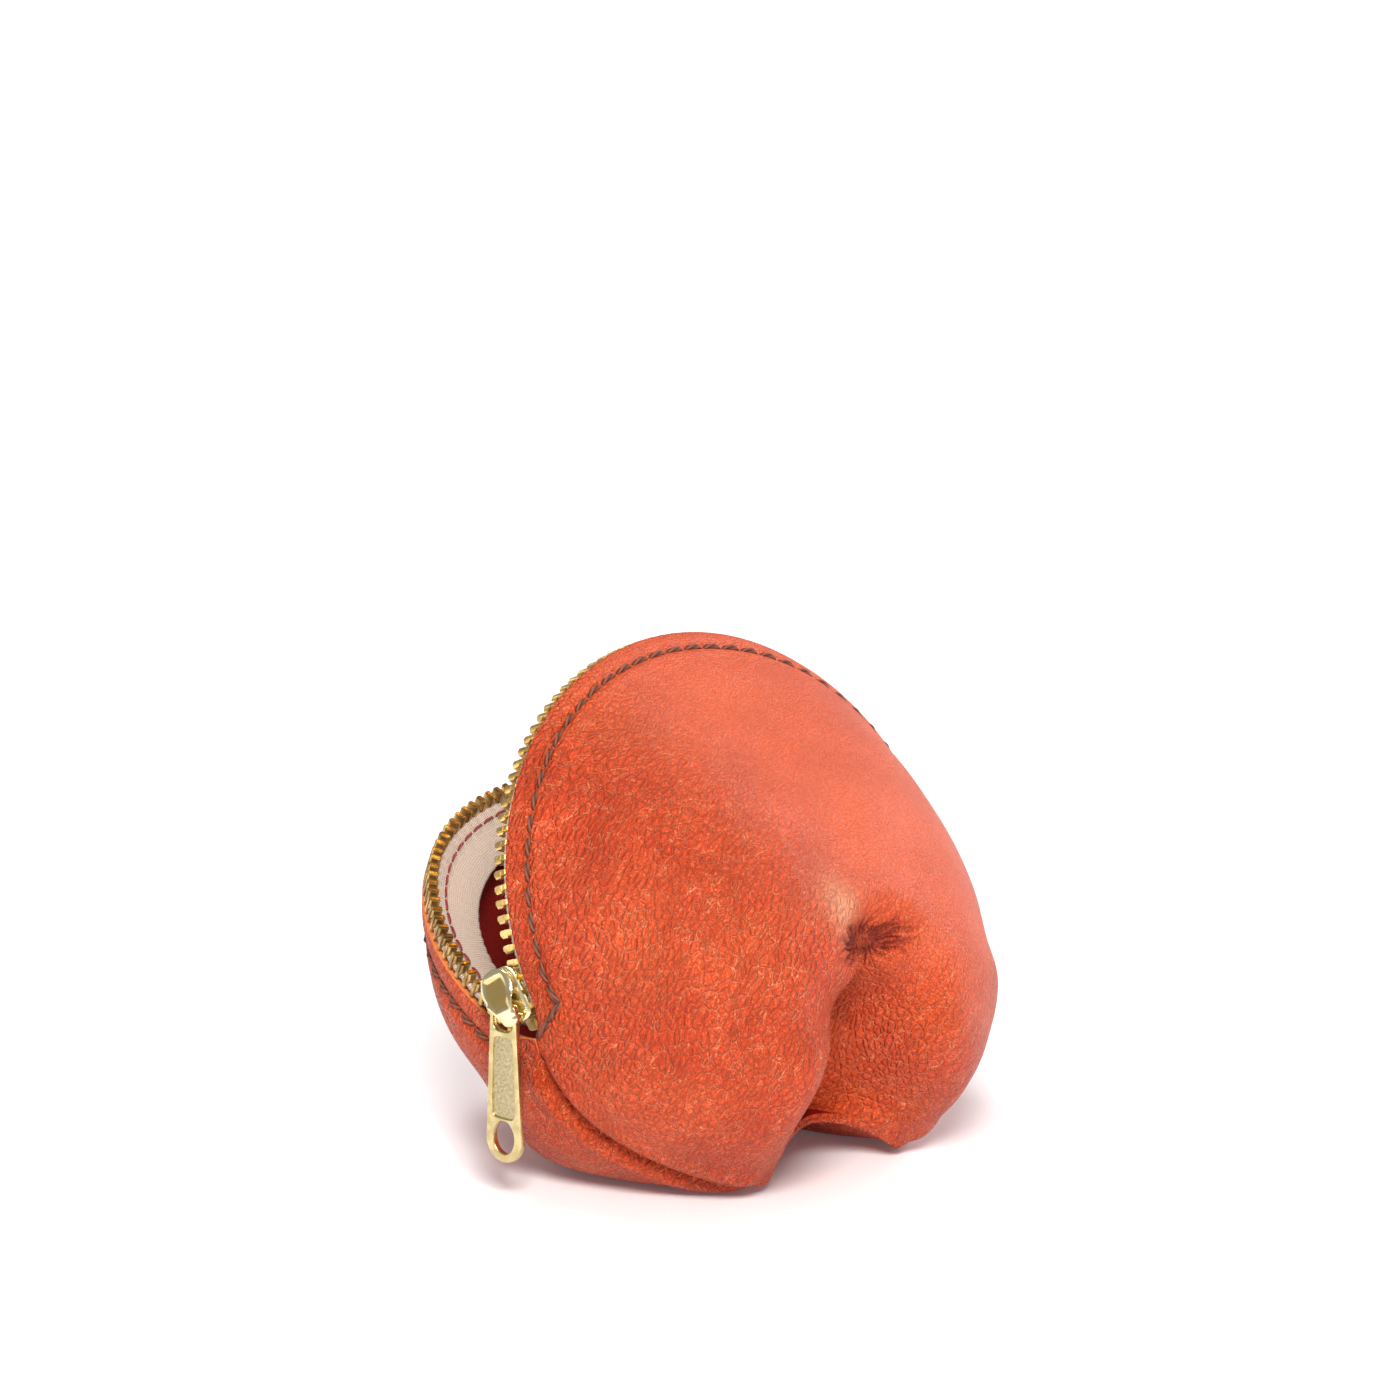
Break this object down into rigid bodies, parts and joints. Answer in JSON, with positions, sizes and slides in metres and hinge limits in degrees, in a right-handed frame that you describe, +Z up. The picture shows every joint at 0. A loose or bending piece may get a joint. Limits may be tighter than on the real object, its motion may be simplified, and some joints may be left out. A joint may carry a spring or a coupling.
{
  "type": "zippered pouch",
  "caption": "Soft leather coin pouch folded to two pointed corners, with a metal zipper round its arched open mouth and a long pull tab.",
  "frame": {"origin": "Middle of the base on the surface that the pouch stands on, below the middle of the whole part.", "axes": "+X from the left corner to the right one, seen from the front; +Y to the back, where the mouth opens; +Z up."},
  "size_m": [0.1027, 0.0993, 0.0892],
  "materials": {
    "leather": "pebbled full-grain coral red leather, raw rust-coloured edges",
    "tape": "herringbone woven cotton tape",
    "cord": "woven tape edge cord",
    "teeth": "antique brass",
    "stops": "antique brass",
    "thread": "waxed dark brown thread",
    "slider": "polished pale brass",
    "tab": "pale brass, polished border and fine-grained panel"
  },
  "bodies": {
    "pouch": {"leather_body": "leather", "front_tape": "tape", "front_cord": "cord", "front_teeth": "teeth", "front_topstitch": "thread", "bottom_stop": "stops", "front_top_stop": "stops", "left_bar_tack": "thread", "right_bar_tack": "thread", "left_seam_thread": "thread", "right_seam_thread": "thread"},
    "rear_lip": {"rear_lip_leather": "leather", "rear_tape": "tape", "rear_cord": "cord", "rear_teeth": "teeth", "rear_topstitch": "thread", "rear_top_stop": "stops"},
    "slider": {"slider_body": "slider", "slider_crown": "slider"},
    "pull_tab": {"pull_tab": "tab"}
  },
  "joints": [
    {"name": "mouth_close", "type": "hinge", "parent": "pouch", "child": "rear_lip", "pos_m": [0.00215, -0.0077, 0.03138], "axis": [1, 0, 0], "range_deg": [0, 42]},
    {"name": "slider_travel", "type": "hinge", "parent": "pouch", "child": "slider", "pos_m": [0.00215, -0.0068, 0.044], "axis": [0, 0.9239, -0.3827], "range_deg": [0, 195.56]},
    {"name": "tab_swing", "type": "hinge", "parent": "slider", "child": "pull_tab", "pos_m": [-0.04917, -0.00637, 0.03459], "axis": [-0.1736, 0.9848, 0], "range_deg": [-3, 150]}
  ],
  "couplings": [
    {"joint": "mouth_close", "follows": "slider_travel", "ratio": 0.21476}
  ]
}
